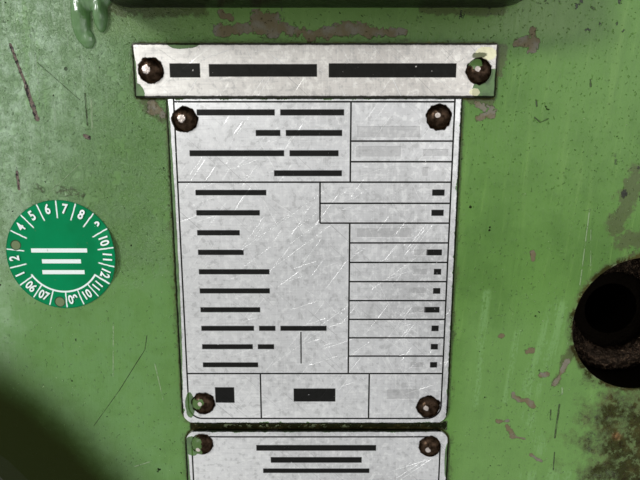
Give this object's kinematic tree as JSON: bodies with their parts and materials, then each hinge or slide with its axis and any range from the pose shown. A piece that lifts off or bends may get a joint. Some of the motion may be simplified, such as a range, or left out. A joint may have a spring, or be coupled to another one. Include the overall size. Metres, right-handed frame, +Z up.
{
  "type": "eccentric stamping press",
  "caption": "Single-column mechanical stamping press with an adjustable eccentric, V-guided ram, screw-lifted table, belt-driven flywheel, pedal clutch and riveted data plates.",
  "frame": {"origin": "on the floor, in the middle of the four anchor holes in the foot", "axes": "+X to the operator's right, which is the side with the data plates; +Y to the back; +Z up"},
  "size_m": [0.632, 0.999, 1.923],
  "materials": {
    "green_paint": "satin",
    "cover_paint": "satin",
    "cabinet_paint": "satin",
    "dark_paint": "satin",
    "machined_steel": "oiled",
    "cast_iron": "matt",
    "dark_bolts": "blackened",
    "bronze": "satin",
    "brass": "satin",
    "plate_aluminium": "brushed, worn",
    "drive_screws": "browned",
    "sticker": "gloss",
    "belt_rubber": "matt",
    "switchgear_plastic": "matt",
    "black_plastic": "matt",
    "green_plastic": "gloss",
    "red_plastic": "gloss"
  },
  "bodies": {
    "frame": {"frame": "green_paint", "front_bush": "bronze", "rear_bush": "bronze", "left_gib": "cast_iron", "right_gib": "cast_iron", "hex_bolts": "dark_bolts", "gib_adjusting_screws": "dark_bolts", "front_cover": "green_paint", "side_cover": "cover_paint", "rear_cover": "green_paint", "cover_screws": "dark_bolts", "title_strip": "plate_aluminium", "data_plate": "plate_aluminium", "type_plate": "plate_aluminium", "plate_rivets": "drive_screws", "test_sticker": "sticker", "lifting_eye": "dark_bolts", "oil_cups": "brass", "motor_bracket": "green_paint", "motor_body": "dark_paint", "motor_fan_cover": "dark_paint", "motor_terminal_box": "dark_paint", "v_belts": "belt_rubber", "belt_guard": "green_paint", "guard_brackets": "dark_paint", "brake_band": "dark_bolts", "pedal_bracket": "green_paint", "clutch_pivot": "machined_steel", "rod_guide": "dark_paint", "return_spring": "machined_steel", "cabinet": "cabinet_paint", "contactor": "switchgear_plastic", "button_box": "dark_paint"},
    "shaft": {"crankshaft": "machined_steel", "stroke_bush": "bronze", "stroke_ring": "machined_steel", "shaft_nut": "dark_bolts", "brake_drum": "machined_steel", "clutch_collar": "machined_steel", "flywheel_nut": "dark_bolts"},
    "flywheel": {"flywheel": "dark_paint", "flywheel_bush": "bronze"},
    "motor_shaft": {"motor_pulley": "cast_iron"},
    "con_rod": {"con_rod": "dark_paint", "rod_clamp_bolt": "dark_bolts"},
    "ball_screw": {"ball_screw": "machined_steel"},
    "ram": {"ram": "machined_steel", "shank_clamp_bolts": "dark_bolts"},
    "table": {"table": "green_paint", "bolster_plate": "machined_steel", "bolster_bolts": "dark_bolts", "table_clamp_bolts": "dark_bolts"},
    "spindle": {"table_spindle": "machined_steel"},
    "pedal": {"pedal_lever": "dark_paint"},
    "pull_rod": {"pull_rod": "machined_steel"},
    "clutch_lever": {"clutch_lever": "dark_paint"},
    "cabinet_door": {"cabinet_door": "cabinet_paint"},
    "main_switch": {"main_switch": "black_plastic"},
    "start_button": {"start_button": "green_plastic"},
    "stop_button": {"stop_button": "red_plastic"}
  },
  "joints": [
    {"name": "shaft_turn", "type": "hinge", "parent": "frame", "child": "shaft", "pos_m": [0, 0, 1.48], "axis": [0, 1, 0], "continuous": true},
    {"name": "flywheel_turn", "type": "hinge", "parent": "frame", "child": "flywheel", "pos_m": [0, 0, 1.48], "axis": [0, 1, 0], "continuous": true},
    {"name": "motor_turn", "type": "hinge", "parent": "frame", "child": "motor_shaft", "pos_m": [0, 0, 1.792], "axis": [0, 1, 0], "continuous": true},
    {"name": "rod_pin", "type": "hinge", "parent": "shaft", "child": "con_rod", "pos_m": [0, -0.2, 1.495], "axis": [0, 1, 0], "continuous": true},
    {"name": "ball_screw_adjust", "type": "slide", "parent": "con_rod", "child": "ball_screw", "axis": [0, 0, 1], "range_m": [-0.02, 0]},
    {"name": "ram_slide", "type": "slide", "parent": "frame", "child": "ram", "axis": [0, 0, 1], "range_m": [-0.03, 0]},
    {"name": "spindle_turn", "type": "hinge", "parent": "frame", "child": "spindle", "pos_m": [0, -0.095, 0.4], "axis": [0, 0, 1], "range_deg": [-6010, 2410]},
    {"name": "table_lift", "type": "slide", "parent": "frame", "child": "table", "axis": [0, 0, 1], "range_m": [-0.1, 0.04]},
    {"name": "pedal_press", "type": "hinge", "parent": "frame", "child": "pedal", "pos_m": [0.2, 0.2, 0.135], "axis": [1, 0, 0], "range_deg": [0, 5], "stiffness_Nm_per_rad": 150, "springref_deg": -14.32},
    {"name": "pull_rod_lift", "type": "slide", "parent": "frame", "child": "pull_rod", "axis": [0, 0, 1], "range_m": [0, 0.0155], "deforming": ["return_spring"]},
    {"name": "clutch_release", "type": "hinge", "parent": "frame", "child": "clutch_lever", "pos_m": [0.12, 0.375, 1.394], "axis": [0, 1, 0], "range_deg": [-11.2, 0]},
    {"name": "door_hinge", "type": "hinge", "parent": "frame", "child": "cabinet_door", "pos_m": [-0.326, 0.306, 0.83], "axis": [0, 0, -1], "range_deg": [0, 110]},
    {"name": "main_switch_turn", "type": "hinge", "parent": "cabinet_door", "child": "main_switch", "pos_m": [-0.338, 0.11, 0.95], "axis": [-1, 0, 0], "range_deg": [0, 90]},
    {"name": "start_press", "type": "slide", "parent": "frame", "child": "start_button", "axis": [0, 1, 0], "range_m": [0, 0.004], "stiffness_N_per_m": 800, "springref_m": -0.004},
    {"name": "stop_press", "type": "slide", "parent": "frame", "child": "stop_button", "axis": [0, 1, 0], "range_m": [0, 0.0045], "stiffness_N_per_m": 800, "springref_m": -0.004}
  ],
  "couplings": [
    {"joint": "rod_pin", "follows": "shaft_turn", "ratio": -1},
    {"joint": "motor_turn", "follows": "flywheel_turn", "ratio": 5.3333},
    {"joint": "spindle_turn", "follows": "table_lift", "rad_per_m": 1047.2},
    {"joint": "pull_rod_lift", "follows": "pedal_press", "m_per_rad": 0.175},
    {"joint": "clutch_release", "follows": "pedal_press", "ratio": -2.1875}
  ]
}
